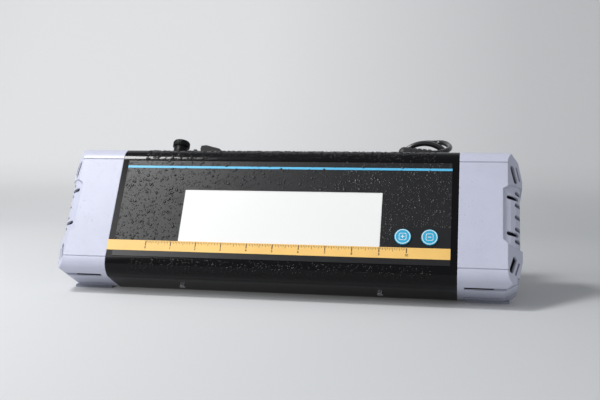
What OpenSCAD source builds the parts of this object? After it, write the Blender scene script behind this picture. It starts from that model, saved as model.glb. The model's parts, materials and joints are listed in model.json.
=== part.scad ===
// X-ray film viewer: a lit window in a leaning housing, with vented end caps and a folding rear leg.
// The housing is drawn upright, with its face at y = 0 and its underside at z = 0, and then leaned back.

/* [Housing] */
// Length of the housing between the end caps
housing_w = 340; // [320:1:420]
// Height of the housing along its face
housing_h = 138.5; // [132:0.5:150]
// Depth of the housing behind its face
housing_d = 62; // [58:0.5:74]
// Outer radius of the four long edges
corner_r = 16; // [12:0.5:20]
// Wall of the housing
wall = 2.5; // [2:0.1:3]
// Angle by which the housing leans back
lean = 28.4; // [22:0.1:32]

/* [End caps] */
// Length of an end cap
cap_w = 58.5; // [52:0.5:66]
// Wall of an end cap
cap_wall = 3; // [2:0.1:3.5]
// Reach of the cap's face before it slopes to the side
cap_face_w = 44.7; // [40:0.1:48]
// Depth of the slope between the cap's face and its side
cap_slope_d = 16; // [13:0.5:18]
// Depth of the grip recess at the cap's face
recess_face_depth = 4.4; // [3:0.1:5]
// Depth of the grip recess at the cap's side
recess_side_depth = 2; // [1.5:0.1:2.5]
// Height of the grip recess where it meets the face
recess_h = 60; // [50:1:64]
// Width of a vent slot
vent_w = 3.8; // [2:0.1:4.5]
// Spacing of the vent slots
vent_pitch = 12; // [10:0.5:13]

/* [Window] */
// Width of the lit window
window_w = 197; // [170:1:210]
// Height of the lit window
window_h = 55; // [45:1:58]
// Height of the window's lower edge above the underside
window_z = 34; // [32:0.5:38]
// Thickness of the window pane
pane_t = 3; // [2:0.5:4]
// Width of the rubber round the pane
gasket_w = 1.5; // [1:0.1:2]

/* [Panel] */
// Thickness of the overlay panel
panel_t = 0.5; // [0.3:0.1:0.8]
// Bare margin of the housing at each end of the panel
panel_margin = 6.5; // [5:0.5:10]
// Height of the panel's upper edge above the underside
panel_top_z = 120.5; // [118:0.5:122]
// Height of the panel's lower edge above the underside
panel_low_z = 17.5; // [16.5:0.5:20]
// Height of the blue stripe above the underside
stripe_z = 113.7; // [108:0.1:116]
// Width of the blue stripe
stripe_h = 2.4; // [1.5:0.1:4]
// Height of the ruler strip
ruler_h = 10.7; // [8:0.1:12]
// How far the stripe and the ruler stand above the panel
inlay_rise = 0.1; // [0.05:0.05:0.3]

/* [Keys] */
// Diameter of a key
key_d = 15.5; // [13:0.5:16.5]
// Distance of the plus key from the middle
plus_x = 119.6; // [117:0.1:122]
// Distance between the two keys
key_pitch = 24.7; // [22:0.1:27]
// Height of the keys above the underside
key_z = 44.4; // [42:0.1:60]
// How far a key stands above the panel
key_rise = 1.6; // [1:0.1:3]
// Travel of a key
key_travel = 0.6; // [0.3:0.1:0.8]

/* [Top fittings] */
// Distance of the top fittings behind the face
top_y = 31; // [28:0.5:33]
// Place of the fuse holder along the housing
fuse_x = -122.4; // [-130:0.1:-115]
// Diameter of the fuse cap
fuse_cap_d = 18.2; // [16:0.2:20]
// Height of the fuse cap above the housing
fuse_cap_h = 19.5; // [16:0.5:22]
// Place of the rocker switch along the housing
rocker_x = -86.4; // [-92:0.1:-80]
// Length of the rocker switch's frame
bezel_w = 31; // [29:0.5:34]
// Depth of the rocker switch's frame
bezel_d = 25.5; // [23:0.5:28]
// Tilt of the rocker to each side of level
rocker_tilt = 15; // [8:1:15]
// Place of the strain relief along the housing
relief_x = 114.6; // [105:0.1:120]
// Length of the strain relief's boot
relief_l = 27; // [20:1:34]

/* [Rear leg] */
// Width of the leg
leg_w = 150; // [110:1:160]
// Thickness of the leg's sheet
leg_t = 2; // [1.5:0.1:2.5]
// Height of the leg's hinge above the underside
hinge_z = 93; // [88:0.5:100]
// Distance of the leg's hinge behind the housing
hinge_y = 8; // [7.5:0.1:10]
// Angle of the open leg from upright
leg_open = 33; // [28:0.5:36]

/* [Cord] */
// Diameter of the cord
cord_d = 5.4; // [5:0.1:6]
// Radius of the cord's middle line in the ends of the hank
hank_r = 28; // [26:0.5:30]
// Length of the hank's runs
hank_run = 89; // [86:0.5:92]
// Turns laid down before the last half turn
hank_turns = 4; // [2:1:5]

/* [Hidden] */
$fn = 48;

// overrun that carries a cut past a face, and the usual clearances
over = 1;
seat_gap = 0.1;
slide_gap = 0.3;
turn_gap = 0.05;

// middle of the housing
mid_z = housing_h / 2;
half_w = housing_w / 2;

// rubber pads under the caps, which set the height of the part above the table
pad_t = 2.7;
pad_w = 40;
pad_inset = 8;
pad_edge = 0.7;
table_gap = 0.3;
arc_y = housing_d - corner_r;
arc_drop = corner_r - arc_y * -sin(lean) - corner_r * cos(lean);
base_z = arc_drop + table_gap;
pad_half = sqrt(pow(corner_r, 2) - pow(corner_r - pad_t + table_gap, 2));
pad_mid_y = arc_y * cos(lean) + corner_r * sin(lean);

// hinge of the leg above the table, the leg's reach and the place of its foot
hinge_h = base_z + hinge_z * cos(lean) - (housing_d + hinge_y) * sin(lean);
hinge_back = (housing_d + hinge_y) * cos(lean) + hinge_z * sin(lean);
foot_r = 4.5;
foot_flat = 0.5;
foot_h = foot_r - foot_flat;
leg_l = (hinge_h - foot_h) / cos(leg_open);
foot_back = hinge_back + leg_l * sin(leg_open);

// the middle of the part's depth lies at y = 0
front_y = corner_r * cos(lean) + corner_r * sin(lean) - corner_r;
base_y = -(front_y + foot_back + foot_r) / 2;

// grip recess, as heights above the underside and reaches from the housing
recess_up = 1.5;
recess_z = mid_z + recess_up;
recess_flare = 2;
recess_corner = 5;
recess_top_run = 8;
recess_floor_shares = [[0, 0], [0.08, 0.17], [0.44, 0.35], [0.75, 0.6], [0.93, 0.87], [1, 1.2]];
crease_w = 0.8;
crease_deep = 0.5;
cap_corner_w = 16;
cap_corner_h = 11.3;
cap_corner_side = 4;
cap_bulge_h = 29;

// vent slots: how far down the slope each column starts, and its length
long_vent_start = 7;
long_vent_l = 10;
short_vent_start = 15.8;
short_vent_l = 5.7;
side_vent_l = 5;
bulge_vent_l = 16;
bulge_vent_w = 5.5;
bulge_vent_side_w = 2;
bulge_vent_start = 8;
bulge_vent_side = 6.5;
bulge_vent_lean = 23;
bulge_vent_z = 45;
louvre_y = 12.6;
louvre_w = 4.4;
louvre_back_y = 38.5;
louvre_start = 6.3;
louvre_rise = 12;

// lip that seats a cap in the housing, and the screws through the housing's back
lip_l = 10;
lip_t = 3;
cap_screw_in = 5;
cap_screw_z_share = 0.28;
screw_r = 1.5;
screw_head_r = 3;
screw_head_h = 2;
screw_l = 7;
drive_w = 1;
drive_deep = 1;

// window pane's edge under the panel, and the gasket around it
pane_lap = 1;
gasket_out = pane_lap + gasket_w - seat_gap;

// rails along the inside of the face, which carry the light engine
rail_t = 2;
rail_h = 5;

// light engine behind the window
box_depth = 19;
box_t = 1.2;
board_t = 1.6;
sink_base = 3;
fin_t = 1.4;
fin_h = 15;
fin_count = 12;
led_w = 3.5;
led_t = 0.8;
led_cols = 14;
led_rows = 4;
flange_w = 4;

// boards and the parts on them
driver_x = -128;
driver_w = 44;
driver_h = 76;
driver_z = 60;
driver_y = 16;
block_w = 30;
block_h = 28;
block_d = 22;
cap_can_r = 6;
cap_can_l = 20;
key_board_w = 54;
key_board_h = 34;
key_board_y = 12;
switch_w = 6.2;
switch_h = 3.4;
plunger_r = 1.7;
post_r = 2.5;
post_in = 4;
stem_r = 3;
key_flange = 1.2;
key_flange_t = 1;
key_dome = 0.6;

// fuse holder
fuse_flange_r = 8.5;
fuse_flange_t = 2;
fuse_neck_r = 5;
fuse_neck_h = 9;
fuse_barrel_r = 6;
fuse_barrel_l = 34;
fuse_bore_r = 2.7;
fuse_bore_l = 30;
fuse_r = 2.6;
fuse_l = 20;
fuse_end_l = 5;
fuse_cap_edge = 0.8;
fuse_skirt_r = 6.6;
fuse_cap_round = 3;
fuse_knob_low = 12.8;
nut_t = 3;
nut_r = 9;

// rocker switch
bezel_t = 2.5;
bezel_rim = 1.6;
bezel_skirt = 0.8;
bezel_wall = 1.6;
bezel_in = bezel_skirt + bezel_wall;
bezel_deep = 20;
guard_w = 2.6;
guard_d = 20;
guard_h = 6;
guard_short = 0.8;
rocker_short = 1.3;
rocker_end = bezel_w / 2 - bezel_rim - rocker_short;
rocker_mid = 7.5;
rocker_end_h = 7.3;
rocker_mid_h = 9.4;
rocker_side_h = 3.5;
rocker_side_in = 0.4;
rocker_low = 5;
rocker_foot = 3;
pin_r = 1.5;

// strain relief
relief_base_r = 8;
relief_base_t = 2.5;
relief_mid_h = 8.5;
relief_thick_r = 6;
relief_thin_r = 3.5;
relief_shank_r = 5;
relief_shank_l = 12;
relief_grooves = 4;
groove_w = 1.4;
groove_deep = 0.9;

// fans in the ends of the housing
fan_w = 50;
fan_t = 15;
fan_wall = 1.5;
fan_hub_r = 12;
fan_blade_t = 1.2;
fan_blades = 7;
fan_blade_turn = 38;
fan_axle_r = 1.5;
fan_back_t = 2;
fan_spoke_w = 3;
fan_x = half_w - lip_l;

// brackets, pins and rib of the leg
barrel_r = 3.5;
leg_pin_r = 2;
leg_pin_l = 14;
ear_t = 2;
bracket_t = 2;
bracket_in = 14;
bracket_out = 18;
bracket_h = 24;
leg_flange = 7;
leg_rib_w = 12;
leg_rib_deep = 1;
leg_rib_share = 0.55;
heel_w = 11;
stop_gap = 0.4;
heel_l = (hinge_y - bracket_t - stop_gap - leg_t / 2 * cos(lean + leg_open)) / sin(lean + leg_open);
foot_slot = 5;

// screws under the housing
bottom_screw_x = 98.2;
bottom_screw_y = 33;

// cord: the hank stands behind the housing and the lead joins it at its top
hank_gap = 0.5;
hank_pitch = cord_d + hank_gap;
hank_waist = 10;
hank_x = 133.6;
hank_front_y = base_y + (housing_d - corner_r) * cos(lean) + (housing_h - corner_r) * sin(lean)
    + corner_r + hank_gap + cord_d / 2;
hank_mid_z = cord_d / 2 + hank_r + hank_run / 2;
hank_sides = 6;
tube_sides = 8;
tie_t = 1.2;
tie_h = 9;
tie_gap = 0.4;
lead_points = [[141.6, 16.9, 138.7], [145, 16.9, 138.7], [149.6, 17.9, 139.2], [153.4, 20.4, 140],
    [156.3, 24.1, 141], [158.2, 28.6, 142], [159, 33.5, 142.9], [159.2, 38.5, 143.8],
    [158.6, 43.5, 144.8], [157.3, 48.4, 145.9], [154.9, 53.4, 147.2], [151.6, 57.8, 148],
    [147.6, 60.6, 148], [143, 61.3, 147.7], [139, 61.3, 147.7]];
tail_points = [[139, 37.7, 2.7], [145, 37.7, 2.7], [151, 37.7, 3.2], [157, 37.7, 4.3],
    [163, 37.7, 5.5], [169, 37.7, 6], [175, 37.7, 6]];
plug_l = 30;
plug_w = 22;
plug_t = 12;
plug_neck_l = 12;
plug_neck_r = 4.5;
blade_l = 17.5;
blade_w = 6.3;
blade_t = 1.5;
blade_pitch = 12.7;

module lean_back()
    translate([0, base_y, base_z]) rotate([-lean, 0, 0]) children();

module both_ends()
    for (side = [0, 1]) mirror([side, 0, 0]) children();

// flat outline of the housing, drawn in by inset on every side
module section(inset) {
    r = corner_r - inset;
    translate([inset, corner_r]) square([housing_d - 2 * inset, housing_h - 2 * corner_r]);
    translate([corner_r, inset]) square([housing_d - 2 * corner_r, housing_h - 2 * inset]);
    for (y = [corner_r, housing_d - corner_r])
        for (z = [corner_r, housing_h - corner_r])
            translate([y, z]) circle(r = r);
}

// the section as a prism that runs along +X from x = 0
module along_x(length, inset)
    rotate([90, 0, 90]) linear_extrude(length) section(inset);

module slot2d(length, width) {
    translate([0, -width / 2]) square([length, width]);
    circle(d = width);
    translate([length, 0]) circle(d = width);
}

// screw standing on +Z, with its head's seat at z = 0
module screw(length) {
    difference() {
        cylinder(r = screw_head_r, h = screw_head_h);
        for (turn = [0, 90])
            rotate(turn) translate([-screw_head_r / 2, -drive_w / 2, screw_head_h - drive_deep])
                cube([screw_head_r, drive_w, drive_deep + over]);
    }
    translate([0, 0, -length]) cylinder(r = screw_r, h = length);
}

module screw_hole(length)
    translate([0, 0, -length]) cylinder(r = screw_r + seat_gap, h = length + over);

// places of the screws through the back, which hold the caps' lips
module at_cap_screws()
    for (x = [-1, 1])
        for (z = [-1, 1])
            translate([x * (half_w - cap_screw_in), housing_d, mid_z + z * housing_h * cap_screw_z_share])
                rotate([-90, 0, 0]) children();

module at_bottom_screws()
    for (x = [-1, 1])
        translate([x * bottom_screw_x, bottom_screw_y, 0]) rotate([180, 0, 0]) children();

module at_bracket_screws()
    for (x = [-1, 1])
        for (z = [-1, 1])
            translate([x * (leg_w / 2 + ear_t + bracket_out / 2), housing_d + bracket_t,
                hinge_z + z * bracket_h / 4])
                rotate([-90, 0, 0]) children();

module at_key_posts()
    for (x = [-1, 1])
        for (z = [-1, 1])
            translate([plus_x + key_pitch / 2 + x * (key_board_w / 2 - post_in), wall,
                key_z + z * (key_board_h / 2 - post_in)])
                rotate([-90, 0, 0]) children();

module window_cut(grow, depth)
    translate([-window_w / 2 - grow, -over, window_z - grow])
        cube([window_w + 2 * grow, depth + over, window_h + 2 * grow]);

module housing() {
    color([0.05, 0.05, 0.06]) lean_back() difference() {
        union() {
            difference() {
                translate([-half_w, 0, 0]) along_x(housing_w, 0);
                translate([-half_w - over, 0, 0]) along_x(housing_w + 2 * over, wall);
            }
            for (z = [window_z - rail_h - rail_t, window_z + window_h + rail_h])
                translate([-window_w / 2 - flange_w, wall - seat_gap, z])
                    cube([window_w + 2 * flange_w, rail_h, rail_t]);
        }
        window_cut(pane_lap + gasket_w, wall + over);
        for (x = [plus_x, plus_x + key_pitch])
            translate([x, -over, key_z]) rotate([-90, 0, 0])
                cylinder(d = key_d + 2 * slide_gap, h = rail_h + 2 * over);
        translate([fuse_x, top_y, housing_h - wall - over])
            cylinder(r = fuse_barrel_r + seat_gap, h = wall + 2 * over);
        translate([relief_x, top_y, housing_h - wall - over])
            cylinder(r = relief_shank_r + seat_gap, h = wall + 2 * over);
        translate([rocker_x - bezel_w / 2 + bezel_skirt - seat_gap,
            top_y - bezel_d / 2 + bezel_skirt - seat_gap, housing_h - wall - over])
            cube([bezel_w - 2 * bezel_skirt + 2 * seat_gap, bezel_d - 2 * bezel_skirt + 2 * seat_gap,
                wall + 2 * over]);
        at_cap_screws() screw_hole(screw_l);
        at_bottom_screws() screw_hole(screw_l);
        at_bracket_screws() screw_hole(screw_l);
    }
}

// outer or inner form of a cap on the right, from the housing's end at x = 0
module cap_form(inset) {
    reach = cap_w - inset;
    intersection() {
        along_x(reach, inset);
        translate([0, housing_d, 0]) rotate([90, 0, 0]) linear_extrude(housing_d)
            polygon([[0, inset], [cap_w - cap_corner_w, inset],
                [reach - cap_corner_side, inset + cap_corner_h - cap_corner_side],
                [reach, cap_bulge_h], [reach, housing_h - cap_bulge_h],
                [reach - cap_corner_side, housing_h - cap_corner_h - inset],
                [cap_w - cap_corner_w, housing_h - inset], [0, housing_h - inset]]);
        linear_extrude(housing_h)
            polygon([[0, inset], [cap_face_w - inset / 2, inset], [reach, cap_slope_d],
                [reach, housing_d - cap_slope_d], [cap_face_w - inset / 2, housing_d - inset],
                [0, housing_d - inset]]);
    }
}

// everything outside the recess floor, between the flaring end walls; deep moves the floor inward
module recess_form(deep) {
    face_x = cap_face_w - recess_face_depth - deep;
    run = cap_w - recess_side_depth - deep - face_x;
    far_x = cap_w + over;
    low = recess_z - recess_h / 2 - deep;
    high = recess_z + recess_h / 2 + deep;
    floor_line = [for (s = recess_floor_shares) [face_x + s[0] * run, s[1] * cap_slope_d]];
    back_line = [for (i = [len(floor_line) - 1:-1:0]) [floor_line[i][0], housing_d - floor_line[i][1]]];
    intersection() {
        linear_extrude(housing_h)
            polygon(concat([[face_x, -over]], floor_line, back_line,
                [[face_x, housing_d + over], [far_x, housing_d + over], [far_x, -over]]));
        translate([0, housing_d + over, 0]) rotate([90, 0, 0]) linear_extrude(housing_d + 2 * over)
            polygon([[face_x, low + recess_corner], [face_x + recess_corner, low],
                [far_x, low - recess_flare], [far_x, high + recess_flare],
                [face_x + recess_top_run, high], [face_x, high - recess_corner]]);
    }
}

// carries slots down the slope, whose foot lies at start and which falls by run over the slope's depth
module on_slope(start, run)
    translate([start, 0, 0]) rotate([90, 0, atan2(cap_slope_d, run)])
        translate([0, 0, -2 * cap_wall]) linear_extrude(3 * cap_wall) children();

module cap_vents() {
    start = cap_face_w - recess_face_depth;
    run = cap_w - recess_side_depth - start;
    on_slope(start, run) {
        for (z = [-1.5, 1.5])
            translate([long_vent_start, recess_z + z * vent_pitch]) slot2d(long_vent_l, vent_w);
        for (z = [-2:2])
            translate([short_vent_start, recess_z + z * vent_pitch]) slot2d(short_vent_l, vent_w);
    }
    for (z = [-1.5:1.5])
        translate([cap_w - 2 * cap_wall - over, cap_slope_d + vent_w, recess_z + z * vent_pitch])
            rotate([90, 0, 90]) linear_extrude(3 * cap_wall) slot2d(side_vent_l, vent_w);
    on_slope(cap_face_w, cap_w - cap_face_w)
        for (z = [-1, 1])
            translate([bulge_vent_start, mid_z + z * bulge_vent_z]) rotate(z * bulge_vent_lean) {
                translate([0, -bulge_vent_l / 2]) rotate(90) slot2d(bulge_vent_l - vent_w, bulge_vent_w);
                translate([bulge_vent_side, -bulge_vent_l / 2]) rotate(90)
                    slot2d(bulge_vent_l - vent_w, bulge_vent_side_w);
            }
    for (slot = [[louvre_y, louvre_w], [louvre_back_y, vent_w]])
        translate([louvre_start, slot[0] - slot[1] / 2, -over])
            cube([cap_w - louvre_start, slot[1], louvre_rise + over]);
}

// fine creases across the cap's face, where it starts to curve
module cap_creases()
    for (z = [corner_r, housing_h - corner_r])
        translate([-over, -over, z - crease_w / 2]) cube([cap_w + over, crease_deep + over, crease_w]);

module cap_shape() {
    difference() {
        union() {
            difference() {
                cap_form(0);
                recess_form(0);
                cap_creases();
            }
            translate([-lip_l, 0, 0]) along_x(lip_l + cap_wall, wall + seat_gap);
        }
        difference() {
            union() {
                cap_form(cap_wall);
                translate([-lip_l - over, 0, 0]) along_x(lip_l + cap_wall + over, wall + lip_t);
            }
            recess_form(cap_wall);
        }
        cap_vents();
    }
}

// right cap on the housing, with its lowest edge cut level for the foot pad
module cap_in_place() {
    difference() {
        lean_back() translate([half_w, 0, 0]) difference() {
            cap_shape();
            translate([-half_w, 0, 0]) at_cap_screws() screw_hole(screw_l);
        }
        translate([half_w - lip_l - over, base_y, -over])
            cube([cap_w + lip_l + 2 * over, housing_h, pad_t + over]);
    }
}

module end_cap_right()
    color([0.8, 0.8, 0.87]) cap_in_place();

module end_cap_left()
    color([0.8, 0.8, 0.87]) mirror([1, 0, 0]) cap_in_place();

module cap_screws()
    color([0.6, 0.6, 0.62]) lean_back() at_cap_screws() screw(screw_l);

module front_panel() {
    color([0.16, 0.16, 0.18]) lean_back() difference() {
        translate([-half_w + panel_margin, -panel_t, panel_low_z])
            cube([housing_w - 2 * panel_margin, panel_t, panel_top_z - panel_low_z]);
        translate([0, -panel_t, 0]) window_cut(0, panel_t + over);
        translate([-half_w, -panel_t - over, window_z - ruler_h])
            cube([housing_w - panel_margin, panel_t + 2 * over, ruler_h + seat_gap]);
        translate([-half_w, -panel_t - over, stripe_z - stripe_h / 2])
            cube([housing_w, panel_t + 2 * over, stripe_h]);
        for (x = [plus_x, plus_x + key_pitch])
            translate([x, -panel_t - over, key_z]) rotate([-90, 0, 0])
                cylinder(d = key_d + 2 * slide_gap, h = panel_t + 2 * over);
    }
}

module blue_stripe() {
    color([0.3, 0.7, 0.95]) lean_back()
        translate([-half_w + panel_margin, -panel_t - inlay_rise, stripe_z - stripe_h / 2])
            cube([housing_w - 2 * panel_margin, panel_t + inlay_rise, stripe_h]);
}

module ruler_strip() {
    color([0.98, 0.75, 0.35]) lean_back()
        translate([-half_w, -panel_t - inlay_rise, window_z - ruler_h])
            cube([housing_w - panel_margin, panel_t + inlay_rise, ruler_h]);
}

module window_pane() {
    color([0.97, 0.98, 1]) lean_back()
        translate([-window_w / 2 - pane_lap, 0, window_z - pane_lap])
            cube([window_w + 2 * pane_lap, pane_t, window_h + 2 * pane_lap]);
}

module window_gasket() {
    color([0.1, 0.1, 0.1]) lean_back() difference() {
        translate([-window_w / 2 - gasket_out, 0, window_z - gasket_out])
            cube([window_w + 2 * gasket_out, pane_t, window_h + 2 * gasket_out]);
        window_cut(pane_lap + seat_gap, pane_t + over);
    }
}

// white reflector box: a flange behind the pane and four walls that close in towards the board
module light_box() {
    color([0.93, 0.93, 0.93]) lean_back() translate([0, pane_t, window_z + window_h / 2])
        difference() {
            union() {
                translate([-window_w / 2 - flange_w, 0, -window_h / 2 - flange_w])
                    cube([window_w + 2 * flange_w, box_t, window_h + 2 * flange_w]);
                translate([-window_w / 2 - box_t, 0, -window_h / 2 - box_t])
                    cube([window_w + 2 * box_t, box_depth, window_h + 2 * box_t]);
            }
            translate([-window_w / 2, -over, -window_h / 2])
                cube([window_w, box_depth + 2 * over, window_h]);
        }
}

module led_board() {
    color([0.9, 0.9, 0.86]) lean_back()
        translate([-window_w / 2 - flange_w, pane_t + box_depth, window_z - flange_w])
            cube([window_w + 2 * flange_w, board_t, window_h + 2 * flange_w]);
}

module led_chips() {
    color([1, 0.95, 0.6]) lean_back()
        for (i = [0:led_cols - 1])
            for (k = [0:led_rows - 1])
                translate([window_w * ((i + 0.5) / led_cols - 0.5) - led_w / 2,
                    pane_t + box_depth - led_t, window_z + window_h * (k + 0.5) / led_rows - led_w / 2])
                    cube([led_w, led_t, led_w]);
}

module heat_sink() {
    color([0.7, 0.7, 0.72]) lean_back()
        translate([-window_w / 2 - flange_w, pane_t + box_depth + board_t, window_z - flange_w]) {
            cube([window_w + 2 * flange_w, sink_base, window_h + 2 * flange_w]);
            for (k = [0:fin_count - 1])
                translate([0, sink_base, k * (window_h + 2 * flange_w - fin_t) / (fin_count - 1)])
                    cube([window_w + 2 * flange_w, fin_h, fin_t]);
        }
}

module bottom_screws()
    color([0.75, 0.75, 0.77]) lean_back() at_bottom_screws() screw(screw_l);

module driver_board() {
    color([0.1, 0.4, 0.2]) lean_back() {
        translate([driver_x - driver_w / 2, driver_y, driver_z - driver_h / 2])
            cube([driver_w, board_t, driver_h]);
        for (x = [-1, 1])
            for (z = [-1, 1])
                translate([driver_x + x * (driver_w / 2 - post_in), wall,
                    driver_z + z * (driver_h / 2 - post_in)])
                    rotate([-90, 0, 0]) cylinder(r = post_r, h = driver_y - wall);
    }
}

module transformer() {
    color([0.85, 0.75, 0.3]) lean_back()
        translate([driver_x - block_w / 2, driver_y + board_t, driver_z - block_h])
            cube([block_w, block_d, block_h]);
}

module capacitors() {
    color([0.2, 0.2, 0.3]) lean_back()
        for (x = [-1, 1])
            translate([driver_x + x * (cap_can_r + over), driver_y + board_t, driver_z + block_h / 2])
                rotate([-90, 0, 0]) cylinder(r = cap_can_r, h = cap_can_l);
}

module key_board() {
    color([0.1, 0.4, 0.2]) lean_back()
        translate([plus_x + key_pitch / 2 - key_board_w / 2, key_board_y, key_z - key_board_h / 2])
            cube([key_board_w, board_t, key_board_h]);
}

module key_posts()
    color([0.8, 0.7, 0.4]) lean_back() at_key_posts() cylinder(r = post_r, h = key_board_y - wall);

module key_switches() {
    color([0.15, 0.15, 0.15]) lean_back()
        for (x = [plus_x, plus_x + key_pitch]) {
            translate([x - switch_w / 2, key_board_y - switch_h, key_z - switch_w / 2])
                cube([switch_w, switch_h, switch_w]);
            translate([x, key_board_y - switch_h, key_z]) rotate([90, 0, 0])
                cylinder(r = plunger_r, h = plunger_r);
        }
}

// key with a domed top, a flange behind the wall and a stem towards its switch
module key_at(x) {
    stem_end = key_board_y - switch_h - plunger_r - key_travel - seat_gap;
    lean_back() translate([x, 0, key_z]) {
        rotate([90, 0, 0]) difference() {
            translate([0, 0, -wall - slide_gap])
                cylinder(d = key_d, h = wall + slide_gap + panel_t + key_rise);
            translate([0, 0, panel_t + key_rise - key_dome]) difference() {
                cylinder(d = key_d + over, h = key_dome + over);
                cylinder(d1 = key_d, d2 = key_d - 2 * key_dome, h = key_dome + over);
            }
        }
        translate([0, wall + slide_gap, 0]) rotate([-90, 0, 0])
            cylinder(r = key_d / 2 + key_flange, h = key_flange_t);
        translate([0, wall, 0]) rotate([-90, 0, 0]) cylinder(r = stem_r, h = stem_end - wall);
    }
}

module plus_key()
    color([0.2, 0.65, 0.85]) key_at(plus_x);

module minus_key()
    color([0.2, 0.65, 0.85]) key_at(plus_x + key_pitch);

// frame of the rocker switch: a rim with a guard at its left, and a well that hangs inside the housing
module rocker_bezel() {
    color([0.08, 0.08, 0.08]) lean_back() translate([rocker_x, top_y, housing_h]) difference() {
        union() {
            translate([-bezel_w / 2, -bezel_d / 2, 0]) cube([bezel_w, bezel_d, bezel_t]);
            translate([-bezel_w / 2 - guard_w, -guard_d / 2, 0])
                cube([guard_w + bezel_rim - guard_short, guard_d, guard_h]);
            translate([-bezel_w / 2 + bezel_skirt, -bezel_d / 2 + bezel_skirt, -bezel_deep])
                cube([bezel_w - 2 * bezel_skirt, bezel_d - 2 * bezel_skirt, bezel_deep]);
        }
        translate([-bezel_w / 2 + bezel_rim, -bezel_d / 2 + bezel_in, 0])
            cube([bezel_w - 2 * bezel_rim, bezel_d - 2 * bezel_in, bezel_t + over]);
        translate([-bezel_w / 2 + bezel_in, -bezel_d / 2 + bezel_in, bezel_wall - bezel_deep])
            cube([bezel_w - 2 * bezel_in, bezel_d - 2 * bezel_in, bezel_deep + over]);
        translate([0, bezel_d / 2 - bezel_skirt, 0]) rotate([90, 0, 0])
            cylinder(r = pin_r, h = bezel_d - 2 * bezel_skirt);
    }
}

// rocker seen from the front: a flat top with falling ends, and sides that clear the frame
module rocker() {
    color([0.1, 0.1, 0.1]) lean_back() translate([rocker_x, top_y, housing_h])
        rotate([0, rocker_tilt, 0]) difference() {
            translate([0, bezel_d / 2 - bezel_in - slide_gap, 0]) rotate([90, 0, 0])
                linear_extrude(bezel_d - 2 * bezel_in - 2 * slide_gap)
                    polygon([[-rocker_end, rocker_end_h], [-rocker_mid, rocker_mid_h],
                        [rocker_mid, rocker_mid_h], [rocker_end, rocker_end_h],
                        [rocker_end - rocker_side_in, rocker_side_h], [rocker_end - rocker_foot, 0],
                        [rocker_low, -rocker_low], [-rocker_low, -rocker_low],
                        [rocker_foot - rocker_end, 0], [rocker_side_in - rocker_end, rocker_side_h]]);
            translate([0, bezel_d, 0]) rotate([90, 0, 0])
                cylinder(r = pin_r + turn_gap, h = 2 * bezel_d);
        }
}

module rocker_pin() {
    color([0.6, 0.6, 0.6]) lean_back()
        translate([rocker_x, top_y + bezel_d / 2 - bezel_skirt, housing_h]) rotate([90, 0, 0])
            cylinder(r = pin_r, h = bezel_d - 2 * bezel_skirt);
}

module fuse_holder() {
    color([0.08, 0.08, 0.08]) lean_back() translate([fuse_x, top_y, housing_h]) difference() {
        union() {
            cylinder(r = fuse_flange_r, h = fuse_flange_t);
            cylinder(r = fuse_neck_r, h = fuse_neck_h);
            translate([0, 0, -fuse_barrel_l]) cylinder(r = fuse_barrel_r, h = fuse_barrel_l);
        }
        translate([0, 0, fuse_neck_h - fuse_bore_l - fuse_neck_r])
            cylinder(r = fuse_bore_r, h = fuse_bore_l + fuse_neck_r + over);
    }
}

module fuse() {
    color([0.85, 0.9, 0.9]) lean_back()
        translate([fuse_x, top_y, housing_h + fuse_neck_h - fuse_bore_l - fuse_neck_r]) {
            cylinder(r = fuse_r - seat_gap, h = fuse_l);
            for (z = [0, fuse_l - fuse_end_l])
                translate([0, 0, z]) cylinder(r = fuse_r, h = fuse_end_l);
        }
}

module nut_at(x, bore_r) {
    lean_back() translate([x, top_y, housing_h - wall - nut_t]) difference() {
        cylinder(r = nut_r, h = nut_t, $fn = 6);
        translate([0, 0, -over]) cylinder(r = bore_r, h = nut_t + 2 * over);
    }
}

module fuse_nut()
    color([0.7, 0.7, 0.7]) nut_at(fuse_x, fuse_barrel_r);

module relief_nut()
    color([0.7, 0.7, 0.7]) nut_at(relief_x, relief_shank_r);

// turning cap over the fuse holder's neck: a skirt and a wider rounded knob
module fuse_cap() {
    r = fuse_cap_d / 2;
    low = fuse_flange_t + slide_gap;
    knob_edge = [for (a = [0:15:90]) [r + fuse_cap_round * (cos(a) - 1),
        fuse_cap_h + fuse_cap_round * (sin(a) - 1)]];
    color([0.12, 0.12, 0.12]) lean_back() translate([fuse_x, top_y, housing_h]) difference() {
        rotate_extrude() polygon([[0, low], [fuse_skirt_r, low],
            [fuse_skirt_r, fuse_knob_low - fuse_cap_edge], [r - fuse_cap_edge, fuse_knob_low - fuse_cap_edge],
            [r, fuse_knob_low], each knob_edge, [0, fuse_cap_h]]);
        translate([0, 0, low - over])
            cylinder(r = fuse_neck_r + turn_gap, h = fuse_neck_h - low + over + slide_gap);
    }
}

// elbow gland with a grooved boot along +X
module strain_relief() {
    color([0.07, 0.07, 0.07]) lean_back() translate([relief_x, top_y, housing_h]) {
        cylinder(r = relief_base_r, h = relief_base_t);
        translate([0, 0, -relief_shank_l]) cylinder(r = relief_shank_r, h = relief_shank_l + relief_mid_h);
        translate([0, 0, relief_mid_h]) {
            sphere(r = relief_thick_r);
            rotate([0, 90, 0]) difference() {
                cylinder(r1 = relief_thick_r, r2 = relief_thin_r, h = relief_l);
                for (i = [1:relief_grooves])
                    translate([0, 0, relief_l * (i + 0.5) / (relief_grooves + 1.5)])
                        rotate_extrude() translate([relief_thick_r
                            - (relief_thick_r - relief_thin_r) * (i + 0.5) / (relief_grooves + 1.5)
                            - groove_deep, 0]) square([relief_thick_r, groove_w]);
            }
        }
    }
}

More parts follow.
